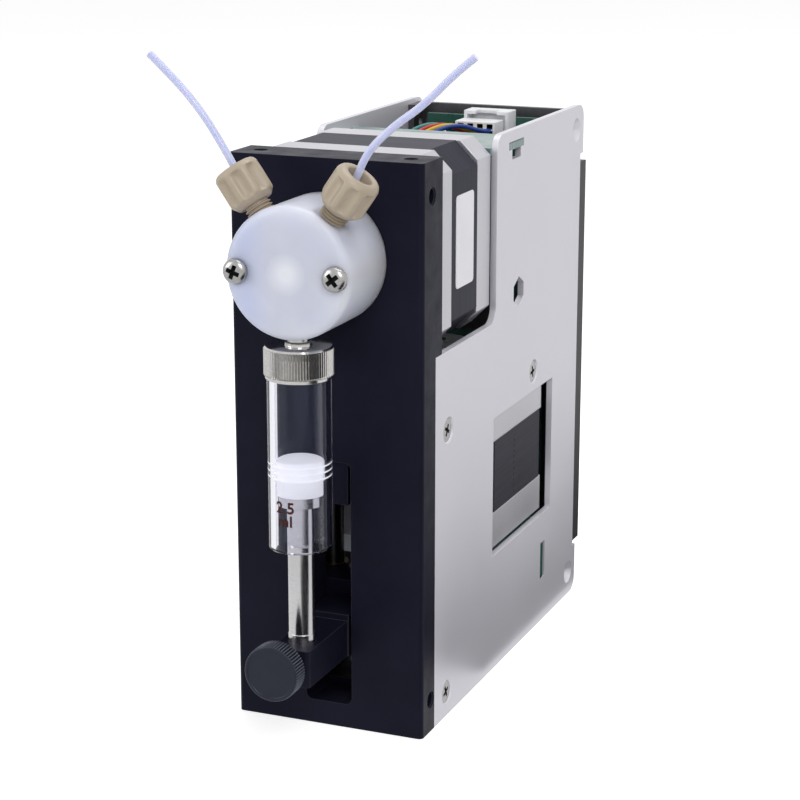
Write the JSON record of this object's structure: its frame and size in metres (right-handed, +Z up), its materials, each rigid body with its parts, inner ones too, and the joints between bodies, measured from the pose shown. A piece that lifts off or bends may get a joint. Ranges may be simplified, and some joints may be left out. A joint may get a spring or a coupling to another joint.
{
  "type": "syringe pump module",
  "caption": "Instrument syringe pump module: rotary valve and glass syringe on a black front plate, screw-driven plunger arm in a slot, open sheet-metal case behind",
  "frame": {"origin": "centre of the front plate's bottom face", "axes": "+X right as seen from the front, +Y back from the front plate into the case, +Z up along the syringe"},
  "size_m": [0.0712, 0.145, 0.151],
  "materials": {
    "black_anodised": "black anodised, fine satin",
    "panel_metal": "clear anodised sheet, satin",
    "wall_steel": "dark passivated sheet",
    "milled_aluminium": "milled, bare",
    "ground_steel": "ground and polished",
    "screw_steel": "stainless",
    "nickel": "nickel plated, turned",
    "bronze": "sintered bronze",
    "valve_plastic": "milky translucent moulding",
    "white_ptfe": "soft white, waxy",
    "coupling_steel": "turned",
    "beige_plastic": "moulded, satin",
    "tube_plastic": "thin translucent tubing",
    "clear_glass": "clear borosilicate, fire polished",
    "motor_bell": "die cast, machined",
    "stator_black": "black enamel over laminations",
    "label_white": "blank sticker",
    "encoder_plastic": "black film disc",
    "sensor_black": "moulded",
    "pulley_metal": "turned",
    "belt_rubber": "moulded",
    "pale_board": "pale green laminate",
    "green_board": "solder masked laminate",
    "brass_post": "turned",
    "white_nylon": "moulded nylon",
    "wire_cover": "coloured covering over copper strands",
    "cover_black": "moulded, fine grain",
    "connector_shell": "plated shell"
  },
  "bodies": {
    "module": {"front_plate": "black_anodised", "bearing_block": "black_anodised", "base_block": "black_anodised", "left_side_panel": "panel_metal", "right_side_panel": "panel_metal", "rear_wall": "wall_steel", "left_cheek": "milled_aluminium", "right_cheek": "milled_aluminium", "motor_bracket": "milled_aluminium", "guide_rods": "ground_steel", "screw_bearings": "ground_steel", "panel_screws": "screw_steel", "valve_screws": "screw_steel", "valve_motor_screws": "screw_steel", "plunger_motor_screws": "screw_steel", "board_screws": "screw_steel", "syringe_cap": "nickel", "valve_body": "valve_plastic", "ferrules": "white_ptfe", "left_fitting": "beige_plastic", "right_fitting": "beige_plastic", "left_tube": "tube_plastic", "right_tube": "tube_plastic", "glass_barrel": "clear_glass", "valve_motor_front_bell": "motor_bell", "valve_motor_rear_bell": "motor_bell", "plunger_motor_lower_bell": "motor_bell", "plunger_motor_upper_bell": "motor_bell", "valve_motor_stator": "stator_black", "plunger_motor_stator": "stator_black", "valve_motor_label": "label_white", "optical_sensor": "sensor_black", "controller_chip": "sensor_black", "driver_chips": "sensor_black", "drive_belt": "belt_rubber", "sensor_board": "pale_board", "main_board": "green_board", "driver_board": "green_board", "board_standoffs": "brass_post", "motor_header": "white_nylon", "motor_plug": "white_nylon", "motor_leads": "wire_cover", "rear_cover": "cover_black", "data_connector": "connector_shell"},
    "valve_drive": {"valve_rotor": "white_ptfe", "valve_coupling": "coupling_steel", "valve_motor_shaft": "ground_steel", "encoder_disc": "encoder_plastic"},
    "motor_rotor": {"plunger_motor_shaft": "ground_steel", "motor_pulley": "pulley_metal"},
    "screw": {"lead_screw": "ground_steel", "screw_pulley": "pulley_metal"},
    "carriage": {"carriage_block": "black_anodised", "lead_nut": "bronze", "guide_bushings": "bronze", "drive_arm": "black_anodised", "plunger_rod": "ground_steel", "plunger_seal": "white_ptfe"},
    "knob": {"lock_knob": "black_anodised"}
  },
  "joints": [
    {"name": "valve_turn", "type": "hinge", "parent": "module", "child": "valve_drive", "pos_m": [0, 0, 0.10585], "axis": [0, 1, 0], "continuous": true},
    {"name": "motor_turn", "type": "hinge", "parent": "module", "child": "motor_rotor", "pos_m": [0, 0.05835, 0.07], "axis": [0, 0, 1], "range_deg": [-1515, 651]},
    {"name": "screw_turn", "type": "hinge", "parent": "module", "child": "screw", "pos_m": [0, 0.01855, 0.07], "axis": [0, 0, 1], "range_deg": [-1515, 651]},
    {"name": "plunger_travel", "type": "slide", "parent": "module", "child": "carriage", "axis": [0, 0, 1], "range_m": [-0.009, 0.021]},
    {"name": "knob_turn", "type": "hinge", "parent": "carriage", "child": "knob", "pos_m": [0, -0.02545, 0.0229], "axis": [0, -1, 0], "range_deg": [0, 540]}
  ],
  "couplings": [
    {"joint": "screw_turn", "follows": "plunger_travel", "rad_per_m": -1256.6},
    {"joint": "motor_turn", "follows": "plunger_travel", "rad_per_m": -1256.6}
  ]
}
